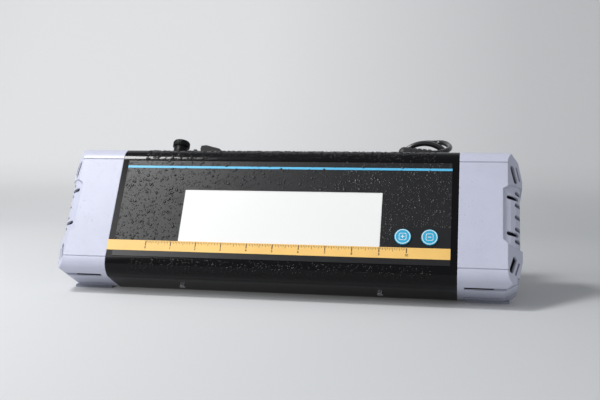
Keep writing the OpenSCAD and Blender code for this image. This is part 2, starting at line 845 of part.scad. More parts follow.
// square fan frame at the right end, with its back spider and a fixed axle
module fan_frame() {
    lean_back() translate([fan_x, housing_d / 2, mid_z]) rotate([0, 90, 0]) {
        difference() {
            translate([-fan_w / 2, -fan_w / 2, 0]) cube([fan_w, fan_w, fan_t]);
            translate([0, 0, -over]) cylinder(r = fan_w / 2 - fan_wall, h = fan_t + 2 * over);
        }
        cylinder(r = fan_hub_r, h = fan_back_t);
        for (turn = [0, 90])
            rotate(turn + 45) translate([-fan_w / 2, -fan_spoke_w / 2, 0])
                cube([fan_w, fan_spoke_w, fan_back_t]);
        cylinder(r = fan_axle_r, h = fan_t - fan_back_t);
    }
}

module fan_frame_right()
    color([0.1, 0.1, 0.1]) fan_frame();

module fan_frame_left()
    color([0.1, 0.1, 0.1]) mirror([1, 0, 0]) fan_frame();

module fan_rotor() {
    lean_back() translate([fan_x, housing_d / 2, mid_z]) rotate([0, 90, 0])
        translate([0, 0, fan_back_t + slide_gap]) difference() {
            union() {
                cylinder(r = fan_hub_r, h = fan_t - 2 * fan_back_t);
                for (i = [0:fan_blades - 1])
                    rotate(i * 360 / fan_blades) translate([fan_hub_r - fan_wall, 0, fan_t / 2 - fan_back_t])
                        rotate([fan_blade_turn, 0, 0]) translate([0, -fan_blade_t / 2, -fan_hub_r / 2])
                            cube([fan_w / 2 - fan_hub_r - fan_wall, fan_blade_t, fan_hub_r]);
            }
            translate([0, 0, -over]) cylinder(r = fan_axle_r + turn_gap, h = fan_t + over);
        }
}

module fan_rotor_right()
    color([0.15, 0.15, 0.15]) fan_rotor();

module fan_rotor_left()
    color([0.15, 0.15, 0.15]) mirror([1, 0, 0]) fan_rotor();

// one bracket on each side of the leg: a base on the housing and an ear that carries the pin
module leg_brackets() {
    color([0.15, 0.15, 0.16]) lean_back() both_ends() difference() {
        union() {
            translate([leg_w / 2 - bracket_in, housing_d, hinge_z - bracket_h / 2])
                cube([bracket_in + ear_t + bracket_out, bracket_t, bracket_h]);
            translate([leg_w / 2 + slide_gap, housing_d, hinge_z]) rotate([0, 90, 0]) linear_extrude(ear_t)
                union() {
                    translate([-bracket_h / 4, 0]) square([bracket_h / 2, hinge_y]);
                    translate([0, hinge_y]) circle(d = bracket_h / 2);
                }
        }
        translate([leg_w / 2 - over, housing_d + hinge_y, hinge_z]) rotate([0, 90, 0])
            cylinder(r = leg_pin_r, h = ear_t + 2 * over);
        for (z = [-1, 1])
            translate([leg_w / 2 + ear_t + bracket_out / 2, housing_d + bracket_t,
                hinge_z + z * bracket_h / 4])
                rotate([-90, 0, 0]) screw_hole(screw_l);
    }
}

module bracket_screws()
    color([0.6, 0.6, 0.62]) lean_back() at_bracket_screws() screw(screw_l);

module leg_pins() {
    color([0.7, 0.7, 0.7]) lean_back() both_ends()
        translate([leg_w / 2 + slide_gap + ear_t - leg_pin_l, housing_d + hinge_y, hinge_z])
            rotate([0, 90, 0]) cylinder(r = leg_pin_r, h = leg_pin_l);
}

// places its children at the leg's hinge, turned to the open leg, which runs down -Z
module open_leg()
    translate([0, base_y + hinge_back, hinge_h]) rotate([leg_open, 0, 0]) children();

module leg() {
    color([0.15, 0.15, 0.16]) open_leg() difference() {
        union() {
            translate([-leg_w / 2, -leg_t / 2, -leg_l]) cube([leg_w, leg_t, leg_l]);
            both_ends() translate([leg_w / 2 - heel_w - over, -leg_t / 2, 0]) cube([heel_w, leg_t, heel_l]);
            both_ends() translate([leg_w / 2 - leg_t, -leg_t / 2, foot_r * 2 - leg_l])
                cube([leg_t, leg_flange, leg_l - foot_r * 2]);
            translate([-leg_w / 2, 0, 0]) rotate([0, 90, 0]) cylinder(r = barrel_r, h = leg_w);
            translate([-leg_w * leg_rib_share / 2, 0, -leg_l * leg_rib_share])
                cube([leg_w * leg_rib_share, leg_t / 2 + leg_rib_deep, leg_rib_w]);
        }
        translate([-leg_w / 2 - over, 0, 0]) rotate([0, 90, 0])
            cylinder(r = leg_pin_r + turn_gap, h = leg_w + 2 * over);
    }
}

module leg_foot() {
    color([0.05, 0.05, 0.05]) difference() {
        open_leg() translate([-leg_w / 2, 0, -leg_l]) difference() {
            rotate([0, 90, 0]) cylinder(r = foot_r, h = leg_w);
            translate([-over, -leg_t / 2, 0]) cube([leg_w + 2 * over, leg_t, foot_slot]);
        }
        translate([-leg_w / 2 - over, base_y + foot_back - foot_r - over, -foot_r])
            cube([leg_w + 2 * over, 2 * foot_r + 2 * over, foot_r]);
    }
}

module foot_pad() {
    translate([half_w + pad_inset, base_y + pad_mid_y - pad_half + pad_edge, 0])
        cube([pad_w, 2 * pad_half - 2 * pad_edge, pad_t]);
}

module foot_pad_right()
    color([0.05, 0.05, 0.05]) foot_pad();

module foot_pad_left()
    color([0.05, 0.05, 0.05]) mirror([1, 0, 0]) foot_pad();

// tube swept along points, with its rings square to the route
function unit(v) = v / norm(v);
function heading(p, i) = unit(p[min(i + 1, len(p) - 1)] - p[max(i - 1, 0)]);
function side_of(h) = unit(cross(h, abs(h[1]) > 0.9 ? [1, 0, 0] : [0, 1, 0]));
function ring(p, i, r, n) = let (h = heading(p, i), a = side_of(h), b = cross(h, a))
    [for (k = [0:n - 1]) p[i] + r * (cos(360 * k / n) * a + sin(360 * k / n) * b)];

module tube(p, r, n) {
    last = len(p) - 1;
    polyhedron(
        points = [for (i = [0:last]) each ring(p, i, r, n)],
        faces = concat(
            [for (k = [1:n - 2]) [0, k, k + 1]],
            [for (k = [1:n - 2]) [last * n, last * n + k + 1, last * n + k]],
            [for (i = [0:last - 1]) for (k = [0:n - 1]) [i * n + k, (i + 1) * n + k, i * n + (k + 1) % n]],
            [for (i = [0:last - 1]) for (k = [0:n - 1])
                [(i + 1) * n + k, (i + 1) * n + (k + 1) % n, i * n + (k + 1) % n]]));
}

// one place on the hank: step counts 24 to a turn, from the top's middle towards -X and down
arc_steps = 6;
turn_steps = 4 * arc_steps;
function run_x(f) = hank_r - (hank_r - hank_waist) * pow(sin(180 * f), 2);
function hank_at(step) = let (
        t = floor(step / turn_steps),
        s = step - t * turn_steps,
        half = arc_steps / 2,
        y0 = hank_front_y + (hank_turns - t) * hank_pitch)
    s < half ? let (a = 90 * s / half)
        [hank_x - hank_r * sin(a), y0, hank_mid_z + hank_run / 2 + hank_r * cos(a)]
    : s < half + arc_steps ? let (f = (s - half) / arc_steps)
        [hank_x - run_x(f), y0, hank_mid_z + hank_run * (0.5 - f)]
    : s < half + 2 * arc_steps ? let (a = 180 * (s - half - arc_steps) / arc_steps)
        [hank_x - hank_r * cos(a), y0, hank_mid_z - hank_run / 2 - hank_r * sin(a)]
    : s < half + 3 * arc_steps ? let (f = (s - half - 2 * arc_steps) / arc_steps)
        [hank_x + run_x(f), y0 - hank_pitch * (1 - cos(180 * f)) / 2, hank_mid_z + hank_run * (f - 0.5)]
    : let (a = 90 * (s - half - 3 * arc_steps) / half)
        [hank_x + hank_r * cos(a), y0 - hank_pitch, hank_mid_z + hank_run / 2 + hank_r * sin(a)];

hank_steps = hank_turns * turn_steps + turn_steps / 2;
hank_points = concat(
    [hank_at(0) + [cord_d, 0, 0]],
    [for (i = [0:hank_steps]) hank_at(i)],
    [hank_at(hank_steps) + [cord_d, 0, 0]]);
hank_self_gap = min([for (i = [0:hank_steps]) for (j = [i + arc_steps:hank_steps])
    norm(hank_at(i) - hank_at(j))]) - cord_d;
echo(least_gap_of_hank_to_itself = hank_self_gap);

module cord_hank()
    color([0.04, 0.04, 0.04]) tube(hank_points, cord_d / 2, hank_sides);

module cord_lead()
    color([0.04, 0.04, 0.04]) tube(lead_points, cord_d / 2, tube_sides);

module cord_tail()
    color([0.04, 0.04, 0.04]) tube(tail_points, cord_d / 2, tube_sides);

// strap round the waist of the hank
module cord_tie() {
    spread = (run_x(0.5 - 1 / arc_steps) - hank_waist) * tie_h / 2 / (hank_run / arc_steps);
    w = 2 * (hank_waist + spread) + cord_d + 2 * tie_gap;
    d = hank_turns * hank_pitch + cord_d + 2 * tie_gap;
    color([0.1, 0.1, 0.1])
        translate([hank_x - w / 2, hank_front_y - cord_d / 2 - tie_gap, hank_mid_z - tie_h / 2])
        difference() {
            translate([-tie_t, -tie_t, 0]) cube([w + 2 * tie_t, d + 2 * tie_t, tie_h]);
            translate([0, 0, -over]) cube([w, d, tie_h + 2 * over]);
        }
}

module at_plug()
    translate(tail_points[len(tail_points) - 1]) children();

module mains_plug() {
    color([0.05, 0.05, 0.05]) at_plug() {
        rotate([0, 90, 0]) cylinder(r1 = cord_d / 2 + over, r2 = plug_neck_r, h = plug_neck_l);
        translate([plug_neck_l, -plug_w / 2, -plug_t / 2]) cube([plug_l - plug_neck_l, plug_w, plug_t]);
    }
}

module plug_blades() {
    color([0.8, 0.75, 0.5]) at_plug()
        for (y = [-1, 1])
            translate([plug_l, y * blade_pitch / 2 - blade_t / 2, -blade_w / 2])
                cube([blade_l, blade_t, blade_w]);
}

housing();
end_cap_left();
end_cap_right();
cap_screws();
front_panel();
blue_stripe();
ruler_strip();
window_pane();
window_gasket();
light_box();
led_board();
led_chips();
heat_sink();
driver_board();
transformer();
capacitors();
key_board();
key_switches();
key_posts();
plus_key();
minus_key();
rocker_bezel();
rocker();
rocker_pin();
fuse_holder();
fuse_nut();
fuse();
fuse_cap();
strain_relief();
relief_nut();
fan_frame_left();
fan_frame_right();
fan_rotor_left();
fan_rotor_right();
bottom_screws();
leg_brackets();
bracket_screws();
leg();
leg_pins();
leg_foot();
foot_pad_left();
foot_pad_right();
cord_lead();
cord_hank();
cord_tail();
cord_tie();
mains_plug();
plug_blades();
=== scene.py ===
"""Looks of the x-ray film viewer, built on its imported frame.

Shapes are drawn in millimetres of the upright viewer unless a comment says otherwise:
x from the middle, y into the body from its face, z up from its underside.
"""
import bisect
import json
import math
import random

import bmesh
import bpy
from mathutils import Matrix, Vector


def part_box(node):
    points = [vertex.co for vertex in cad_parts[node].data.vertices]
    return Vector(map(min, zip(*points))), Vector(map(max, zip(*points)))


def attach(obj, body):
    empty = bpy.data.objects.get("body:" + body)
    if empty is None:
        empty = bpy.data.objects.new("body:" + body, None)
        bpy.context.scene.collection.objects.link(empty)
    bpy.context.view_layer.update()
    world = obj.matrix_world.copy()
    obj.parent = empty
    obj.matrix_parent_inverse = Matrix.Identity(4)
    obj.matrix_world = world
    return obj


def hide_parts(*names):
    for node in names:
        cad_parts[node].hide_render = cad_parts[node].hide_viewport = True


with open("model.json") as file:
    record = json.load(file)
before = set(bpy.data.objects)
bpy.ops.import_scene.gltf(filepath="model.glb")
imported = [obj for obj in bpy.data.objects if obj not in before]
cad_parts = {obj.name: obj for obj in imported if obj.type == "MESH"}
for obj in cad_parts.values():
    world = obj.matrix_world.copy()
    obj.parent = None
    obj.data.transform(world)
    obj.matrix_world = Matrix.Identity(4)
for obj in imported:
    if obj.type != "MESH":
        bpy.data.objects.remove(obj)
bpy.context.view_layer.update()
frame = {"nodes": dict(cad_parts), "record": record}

# the CAD's sizes
MM = 0.001
LEAN = math.radians(28.4)
BASE_Y = -80.2769
BASE_Z = 24.1043
HALF_W = 170.0
HOUSING_H = 138.5
HOUSING_D = 62.0
CORNER_R = 16.0
WINDOW_W = 197.0
WINDOW_H = 55.0
WINDOW_Z = 34.0
RULER_H = 10.7
PANEL_T = 0.5
PANEL_LOW = 17.5
PANEL_TOP = 120.5
INLAY = 0.1
KEY_D = 15.5
KEY_Z = 44.4
KEY_FRONT = 2.1
PLUS_X = 119.6
MINUS_X = 144.3
TOP_Y = 31.0
FUSE_X = -122.4
INCH = 25.4
RULER_ZERO_X = -130.4

# upright millimetres to leaning metres, and leaning millimetres to metres
UPRIGHT = (
    Matrix.Scale(MM, 4)
    @ Matrix.Translation((0, BASE_Y, BASE_Z))
    @ Matrix.Rotation(-LEAN, 4, "X")
)
LEANING = Matrix.Scale(MM, 4)
QUARTER = math.radians(90)

# camera of the photograph: its places are in metres of the room, its sensor in millimetres
SENSOR_W = 36
PHOTO_W = 600
FOCAL_PIXELS = 840.6
CAMERA_AT = (0.1771, -0.8369, 0.169)
CAMERA_RIGHT = (0.98076, 0.19523, 0.0)
CAMERA_FORWARD = (-0.19441, 0.97664, -0.0915)
CAMERA_REACH = 20


def add_camera():
    data = bpy.data.cameras.new("camera")
    data.sensor_width = SENSOR_W
    data.lens = FOCAL_PIXELS / PHOTO_W * SENSOR_W
    data.clip_end = CAMERA_REACH
    cam = bpy.data.objects.new("camera", data)
    bpy.context.scene.collection.objects.link(cam)
    forward = Vector(CAMERA_FORWARD).normalized()
    right = Vector(CAMERA_RIGHT)
    right = (right - forward * right.dot(forward)).normalized()
    up = right.cross(forward)
    turn = Matrix((right, up, -forward)).transposed().to_4x4()
    cam.matrix_world = Matrix.Translation(CAMERA_AT) @ turn
    bpy.context.scene.camera = cam


add_camera()


# materials
CLOUD = {"Scale": 22.0, "Detail": 5.0, "Roughness": 0.6}
CLOUD_STOPS = (0.35, 0.65)
SMEAR = {"Scale": 60.0, "Detail": 6.0, "Roughness": 0.7}
WINDOW_CLOUD = {"Scale": 9.0, "Detail": 2.0}
WINDOW_COLOURS = ((0.8, 0.805, 0.79, 1), (0.83, 0.835, 0.82, 1))
WINDOW_GLOW = 0.1
WINDOW_ROUGH = 0.28
GLASS_CLOUD = {"Scale": 90.0}
GLASS_ROUGH = {"To Min": 0.02, "To Max": 0.1}
GLASS_LOOK = {"Base Color": (0.9, 0.95, 0.95, 1), "Transmission Weight": 0.9, "IOR": 1.5}
ROUGH_LEAST = 0.02
ROUGH_SPREAD = 0.06
COAT_ROUGH = 0.05
GRAIN_DETAIL = 4.0
GRAIN_DEPTH = 0.0002
EDGE_SAMPLES = 4
WORN_FROM = 0.53
WORN_FULL = 0.6
WORN_COLOUR = (0.45, 0.45, 0.47, 1)


def node_mat(name):
    mat = bpy.data.materials.new(name)
    mat.use_nodes = True
    tree = mat.node_tree
    shader = tree.nodes["Principled BSDF"]
    return mat, tree, shader


def set_inputs(node, values):
    for key, value in values.items():
        node.inputs[key].default_value = value


def add_node(tree, kind, **values):
    """New node whose inputs, or else whose own settings, take the values."""
    node = tree.nodes.new(kind)
    for key, value in values.items():
        if key in node.inputs:
            node.inputs[key].default_value = value
        else:
            setattr(node, key, value)
    return node


def surface(name, color, rough, spread=0.06, grain=0.0, grain_scale=400, edge=0.0004,
            metallic=0.0, coat=0.0, spec=0.5, wear=0.0, brushed=None):
    """Plastic, paint or metal with uneven colour, uneven gloss, fine grain and softened edges.

    edge is the radius of the softened edges in metres, wear is how bare they are rubbed, and
    brushed is how far the gloss is drawn out along each axis.
    """
    mat, tree, shader = node_mat(name)
    link = tree.links.new
    coords = add_node(tree, "ShaderNodeTexCoord")
    cloud = add_node(tree, "ShaderNodeTexNoise", **CLOUD)
    link(coords.outputs["Object"], cloud.inputs["Vector"])
    ramp = add_node(tree, "ShaderNodeValToRGB")
    low = [c * (1 - spread) for c in color]
    high = [min(1.0, c * (1 + spread)) for c in color]
    for stop, position, shade in zip(ramp.color_ramp.elements, CLOUD_STOPS, (low, high)):
        stop.position = position
        stop.color = (*shade, 1)
    link(cloud.outputs["Fac"], ramp.inputs["Fac"])
    colour_out = ramp.outputs["Color"]
    if wear:
        geometry = add_node(tree, "ShaderNodeNewGeometry")
        worn = add_node(tree, "ShaderNodeMapRange")
        set_inputs(worn, {"From Min": WORN_FROM, "From Max": WORN_FULL, "To Max": wear})
        link(geometry.outputs["Pointiness"], worn.inputs["Value"])
        mix = add_node(tree, "ShaderNodeMix", data_type="RGBA")
        set_inputs(mix, {"B": WORN_COLOUR})
        link(worn.outputs["Result"], mix.inputs["Factor"])
        link(colour_out, mix.inputs["A"])
        colour_out = mix.outputs["Result"]
    link(colour_out, shader.inputs["Base Color"])
    set_inputs(shader, {"Metallic": metallic, "Specular IOR Level": spec, "Coat Weight": coat,
                        "Coat Roughness": COAT_ROUGH})
    smear = add_node(tree, "ShaderNodeTexNoise", **SMEAR)
    if brushed:
        stretch = add_node(tree, "ShaderNodeMapping")
        set_inputs(stretch, {"Scale": brushed})
        link(coords.outputs["Object"], stretch.inputs["Vector"])
        link(stretch.outputs["Vector"], smear.inputs["Vector"])
    else:
        link(coords.outputs["Object"], smear.inputs["Vector"])
    gloss = add_node(tree, "ShaderNodeMapRange")
    set_inputs(gloss, {"To Min": max(ROUGH_LEAST, rough - ROUGH_SPREAD),
                       "To Max": rough + ROUGH_SPREAD})
    link(smear.outputs["Fac"], gloss.inputs["Value"])
    link(gloss.outputs["Result"], shader.inputs["Roughness"])
    soft = add_node(tree, "ShaderNodeBevel", samples=EDGE_SAMPLES)
    set_inputs(soft, {"Radius": edge})
    normal = soft.outputs["Normal"]
    if grain:
        fine = add_node(tree, "ShaderNodeTexNoise", Scale=float(grain_scale),
                        Detail=GRAIN_DETAIL)
        link(coords.outputs["Object"], fine.inputs["Vector"])
        bump = add_node(tree, "ShaderNodeBump")
        set_inputs(bump, {"Strength": grain, "Distance": GRAIN_DEPTH})
        link(fine.outputs["Fac"], bump.inputs["Height"])
        link(normal, bump.inputs["Normal"])
        normal = bump.outputs["Normal"]
    link(normal, shader.inputs["Normal"])
    return mat


def window_surface():
    """White pane, evenly lit from behind."""
    mat, tree, shader = node_mat("lit_window")
    link = tree.links.new
    coords = add_node(tree, "ShaderNodeTexCoord")
    cloud = add_node(tree, "ShaderNodeTexNoise", **WINDOW_CLOUD)
    link(coords.outputs["Object"], cloud.inputs["Vector"])
    ramp = add_node(tree, "ShaderNodeValToRGB")
    for stop, shade in zip(ramp.color_ramp.elements, WINDOW_COLOURS):
        stop.color = shade
    link(cloud.outputs["Fac"], ramp.inputs["Fac"])
    link(ramp.outputs["Color"], shader.inputs["Base Color"])
    link(ramp.outputs["Color"], shader.inputs["Emission Color"])
    set_inputs(shader, {"Emission Strength": WINDOW_GLOW, "Roughness": WINDOW_ROUGH})
    return mat


def glass_surface():
    mat, tree, shader = node_mat("clear_glass")
    coords = add_node(tree, "ShaderNodeTexCoord")
    cloud = add_node(tree, "ShaderNodeTexNoise", **GLASS_CLOUD)
    tree.links.new(coords.outputs["Object"], cloud.inputs["Vector"])
    gloss = add_node(tree, "ShaderNodeMapRange")
    set_inputs(gloss, GLASS_ROUGH)
    tree.links.new(cloud.outputs["Fac"], gloss.inputs["Value"])
    tree.links.new(gloss.outputs["Result"], shader.inputs["Roughness"])
    set_inputs(shader, GLASS_LOOK)
    return mat


SURFACES = {
    "housing_black": dict(color=(0.003, 0.003, 0.0035), rough=0.15, grain=0.08, grain_scale=900,
                          spec=0.19, edge=0.0005),
    "panel_black": dict(color=(0.008, 0.008, 0.009), rough=0.3, spread=0.2, grain=0.12,
                        grain_scale=700, edge=0.0002),
    "cap_grey": dict(color=(0.55, 0.565, 0.68), rough=0.36, spread=0.03, grain=0.18,
                     grain_scale=1400, edge=0.0012),
    "stripe_blue": dict(color=(0.11, 0.52, 0.82), rough=0.35, spread=0.05, edge=0.0001),
    "ruler_yellow": dict(color=(0.93, 0.58, 0.17), rough=0.4, spread=0.05, edge=0.0001),
    "key_blue": dict(color=(0.03, 0.42, 0.68), rough=0.3, spread=0.05, edge=0.0004),
    "black_gloss": dict(color=(0.014, 0.014, 0.015), rough=0.28, grain=0.1, edge=0.0004,
                        coat=0.2),
    "black_matte": dict(color=(0.02, 0.02, 0.021), rough=0.5, grain=0.3, edge=0.0004),
    "leg_black": dict(color=(0.025, 0.025, 0.028), rough=0.42, grain=0.35, grain_scale=600,
                      edge=0.0005, wear=0.35),
    "rubber": dict(color=(0.018, 0.018, 0.018), rough=0.72, grain=0.5, grain_scale=500,
                   edge=0.0004),
    "screw_steel": dict(color=(0.62, 0.62, 0.64), rough=0.25, metallic=1.0, edge=0.0002,
                        brushed=(6, 60, 6)),
    "aluminium": dict(color=(0.7, 0.7, 0.72), rough=0.35, metallic=1.0, brushed=(2, 40, 40)),
    "board_green": dict(color=(0.02, 0.16, 0.05), rough=0.45, spread=0.2),
    "board_white": dict(color=(0.82, 0.82, 0.8), rough=0.5),
    "led_yellow": dict(color=(0.9, 0.75, 0.2), rough=0.3),
    "winding_yellow": dict(color=(0.6, 0.4, 0.06), rough=0.5, spread=0.2),
    "brass": dict(color=(0.72, 0.5, 0.2), rough=0.28, metallic=1.0, brushed=(40, 4, 4)),
    "rocker_black": dict(color=(0.005, 0.005, 0.006), rough=0.4, spec=0.16, edge=0.0006),
    "pad_grey": dict(color=(0.3, 0.31, 0.37), rough=0.6, grain=0.3),
    # painted shade: near-black, dull finish of the slabs that darken the inside of the cap slots
    "slot_shade_black": dict(color=(0.006, 0.006, 0.006), rough=0.95, grain=0.8, grain_scale=900, spec=0.1),
    "mark_dark": dict(color=(0.04, 0.022, 0.012), rough=0.5),
    "mark_white": dict(color=(0.86, 0.92, 0.95), rough=0.4),
    "key_ring": dict(color=(0.68, 0.88, 0.95), rough=0.4),
}
MATS = {name: surface(name, **look) for name, look in SURFACES.items()}
MATS["window_white"] = window_surface()
MATS["glass"] = glass_surface()

# nodes that look different from their slot
LOOKS = {
    "rocker": "rocker_black",
    "rocker_bezel": "rocker_black",
    "foot_pad_left": "pad_grey",
    "foot_pad_right": "pad_grey",
}


def dress_nodes():
    slots = {}
    for entry in frame["record"]["subparts"]:
        slots[entry["node"]] = entry["material_slot"]
    for name, obj in frame["nodes"].items():
        mat = MATS[LOOKS.get(name, slots[name])]
        obj.data.materials.clear()
        obj.data.materials.append(mat)


dress_nodes()


# building helpers
def finish_mesh(name, mesh, body, slot, mat=None, place=UPRIGHT, smooth=True, replaced=()):
    """Puts a drawn mesh in its place, gives it its material and lets it ride on its body."""
    if place is not None:
        mesh.transform(place)
    mesh.materials.append(MATS[mat or slot])
    for face in mesh.polygons:
        face.use_smooth = smooth
    obj = bpy.data.objects.new(name, mesh)
    bpy.context.scene.collection.objects.link(obj)
    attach(obj, body)
    if replaced:
        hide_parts(*replaced)
    return obj


def from_bmesh(bm, name):
    mesh = bpy.data.meshes.new(name)
    bmesh.ops.recalc_face_normals(bm, faces=bm.faces)
    bm.to_mesh(mesh)
    bm.free()
    return mesh


def add_box(bm, low, high):
    verts = [bm.verts.new((x, y, z))
             for x in (low[0], high[0]) for y in (low[1], high[1]) for z in (low[2], high[2])]
    for face in ((0, 1, 3, 2), (4, 6, 7, 5), (0, 4, 5, 1),
                 (2, 3, 7, 6), (0, 2, 6, 4), (1, 5, 7, 3)):
        bm.faces.new([verts[i] for i in face])


def join_rings(bm, rings):
    """Faces between each ring of points and the next; a ring of one point is a tip."""
    for low, high in zip(rings, rings[1:]):
        steps = max(len(low), len(high))
        for k in range(steps):
            j = (k + 1) % steps
            if len(low) == 1:
                corners = (low[0], high[k], high[j])
            elif len(high) == 1:
                corners = (low[k], low[j], high[0])
            else:
                corners = (low[k], low[j], high[j], high[k])
            bm.faces.new(corners)


def lathe(bm, profile, steps, centre):
    """Revolves (radius, height) points about an upright line, closed where the radius is 0."""
    rings = []
    for radius, height in profile:
        ring = []
        for k in range(steps if radius else 1):
            a = 2 * math.pi * k / steps
            ring.append(bm.verts.new(
                Vector((radius * math.cos(a), radius * math.sin(a), height)) + Vector(centre)))
        rings.append(ring)
    join_rings(bm, rings)


def round_outline(half_x, half_y, radius, steps=8):
    """Points round a rectangle with round corners."""
    points = []
    for sx, sy, start in ((1, 1, 0), (-1, 1, 90), (-1, -1, 180), (1, -1, 270)):
        for k in range(steps + 1):
            a = math.radians(start + 90 * k / steps)
            points.append((sx * (half_x - radius) + radius * math.cos(a),
                           sy * (half_y - radius) + radius * math.sin(a)))
    return points


def rounded_prism(bm, half_x, half_y, z_low, z_high, radius, centre, turn):
    """Prism with round corners, closed at both ends, turned and then moved to its centre."""
    outline = round_outline(half_x, half_y, radius)
    low, high = [
        [bm.verts.new(turn @ Vector((x, y, z)) + Vector(centre)) for x, y in outline]
        for z in (z_low, z_high)]
    bm.faces.new(list(reversed(low)))
    bm.faces.new(high)
    join_rings(bm, [low, high])


# cord, in leaning millimetres: the route of the CAD's three cord solids as one tube
CORD_D = 5.4
CORD_ROUND = 6
HANK_R = 28.0
HANK_RUN = 89.0
HANK_WAIST = 10.0
HANK_TURNS = 4
HANK_X = 133.6
HANK_PITCH = CORD_D + 0.5
HANK_FRONT_Y = 37.651
HANK_MID_Z = 75.2
LEAD_POINTS = [
    (141.6, 16.9, 138.7), (145, 16.9, 138.7), (149.6, 17.9, 139.2), (153.4, 20.4, 140),
    (156.3, 24.1, 141), (158.2, 28.6, 142), (159, 33.5, 142.9), (159.2, 38.5, 143.8),
    (158.6, 43.5, 144.8), (157.3, 48.4, 145.9), (154.9, 53.4, 147.2), (151.6, 57.8, 148),
    (147.6, 60.6, 148), (143, 61.3, 147.7), (139, 61.251, 147.7),
]
TAIL_POINTS = [
    (139, 37.7, 2.7), (145, 37.7, 2.7), (151, 37.7, 3.2), (157, 37.7, 4.3), (163, 37.7, 5.5),
    (169, 37.7, 6), (175, 37.7, 6),
]
ARC_STEPS = 12
ROUTE_CUTS = 3


def run_x(f):
    """How far a straight run lies from the hank's middle: drawn in at the strap."""
    return HANK_R - (HANK_R - HANK_WAIST) * math.sin(math.pi * f) ** 2


def hank_at(step):
    """A turn goes from the top over the left, round the foot and up the right to the top."""
    turn, s = divmod(step, 4 * ARC_STEPS)
    half = ARC_STEPS / 2
    y = HANK_FRONT_Y + (HANK_TURNS - turn) * HANK_PITCH
    top = HANK_MID_Z + HANK_RUN / 2
    low = HANK_MID_Z - HANK_RUN / 2
    if s < half:
        a = math.pi / 2 * s / half
        return (HANK_X - HANK_R * math.sin(a), y, top + HANK_R * math.cos(a))
    if s < half + ARC_STEPS:
        f = (s - half) / ARC_STEPS
        return (HANK_X - run_x(f), y, top - HANK_RUN * f)
    if s < half + 2 * ARC_STEPS:
        a = math.pi * (s - half - ARC_STEPS) / ARC_STEPS
        return (HANK_X - HANK_R * math.cos(a), y, low - HANK_R * math.sin(a))
    if s < half + 3 * ARC_STEPS:
        f = (s - half - 2 * ARC_STEPS) / ARC_STEPS
        shift = HANK_PITCH * (1 - math.cos(math.pi * f)) / 2
        return (HANK_X + run_x(f), y - shift, low + HANK_RUN * f)
    a = math.pi / 2 * (s - half - 3 * ARC_STEPS) / half
    return (HANK_X + HANK_R * math.cos(a), y - HANK_PITCH, top + HANK_R * math.sin(a))


def smooth_route(points, cuts):
    """Points on a curve through the given points, each span cut into equal steps."""
    out = []
    last = len(points) - 1
    for i in range(last):
        p0 = Vector(points[max(i - 1, 0)])
        p1 = Vector(points[i])
        p2 = Vector(points[i + 1])
        p3 = Vector(points[min(i + 2, last)])
        for k in range(cuts):
            t = k / cuts
            out.append(0.5 * (2 * p1 + (p2 - p0) * t
                              + (2 * p0 - 5 * p1 + 4 * p2 - p3) * t * t
                              + (3 * p1 - p0 - 3 * p2 + p3) * t ** 3))
    out.append(Vector(points[last]))
    return out


def cord_route():
    steps = HANK_TURNS * 4 * ARC_STEPS + 2 * ARC_STEPS
    hank = [hank_at(i) for i in range(steps + 1)]
    return smooth_route(LEAD_POINTS + hank + TAIL_POINTS, ROUTE_CUTS)


def add_cord():
    route = [p * MM for p in cord_route()]
    length = sum((b - a).length for a, b in zip(route, route[1:]))
    curve = bpy.data.curves.new("mains_cord", "CURVE")
    curve.dimensions = "3D"
    curve.bevel_depth = CORD_D * MM / 2
    curve.bevel_resolution = CORD_ROUND
    curve.use_fill_caps = True
    spline = curve.splines.new("POLY")
    spline.points.add(len(route) - 1)
    for point, place in zip(spline.points, route):
        point.co = (*place, 1)
    spline.use_smooth = True
    curve.materials.append(MATS["black_gloss"])
    obj = bpy.data.objects.new("mains_cord", curve)
    bpy.context.scene.collection.objects.link(obj)
    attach(obj, "root")
    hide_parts("cord_lead", "cord_hank", "cord_tail")
    return obj, length


cord_obj, cord_length = add_cord()

# strap round the hank's waist: inset and level of each row, and the flap over its end
STRAP_ROWS = ((0.25, -1), (0, -0.85), (0, 0.85), (0.25, 1), (1.0, 1), (1.0, -1))
STRAP_R = 5.0
STRAP_STEPS = 12
FLAP_HALF_W = 6.5
FLAP_MARGIN = 0.6
FLAP_T = 0.45
FLAP_R = 3.0
FLAP_SHIFT = 2


def node_box(node):
    """Both corners of a CAD node's box, in leaning millimetres."""
    low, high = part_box(node)
    return Vector(low) / MM, Vector(high) / MM


def add_tie():
    low, high = node_box("cord_tie")
    centre = (low + high) / 2
    half = (high - low) / 2
    bm = bmesh.new()
    rings = []
    for inset, level in STRAP_ROWS:
        outline = round_outline(half.x - inset, half.y - inset, STRAP_R - inset, STRAP_STEPS)
        rings.append([bm.verts.new((centre.x + x, centre.y + y, centre.z + level * half.z))
                      for x, y in outline])
    join_rings(bm, rings + rings[:1])
    rounded_prism(bm, FLAP_HALF_W, half.z - FLAP_MARGIN, -FLAP_T, 0.0, FLAP_R,
                  (centre.x + FLAP_SHIFT, centre.y + half.y, centre.z),
                  Matrix.Rotation(QUARTER, 4, "X"))
    mesh = from_bmesh(bm, "cord_strap")
    return finish_mesh("cord_strap", mesh, "root", "black_matte", place=LEANING,
                       replaced=("cord_tie",))


tie_obj = add_tie()

# plug, along x from the cord: a ribbed neck, then a soft-cornered body with a finger waist
NECK_L = 12.0
NECK_RIBBED_SHARE = 0.8
NECK_RIBS = 6
NECK_R = 3.3
NECK_GROWS = 1.2
NECK_GROOVE = 0.5
# place behind the neck, half width, half height and corner radius
PLUG_BODY = ((-1.2, 6.5, 4.8, 4.0), (0, 8.8, 5.3, 4.2), (3, 10.3, 5.7, 4.2),
             (8, 9.6, 5.6, 4.2), (13, 10.4, 5.9, 4.2))
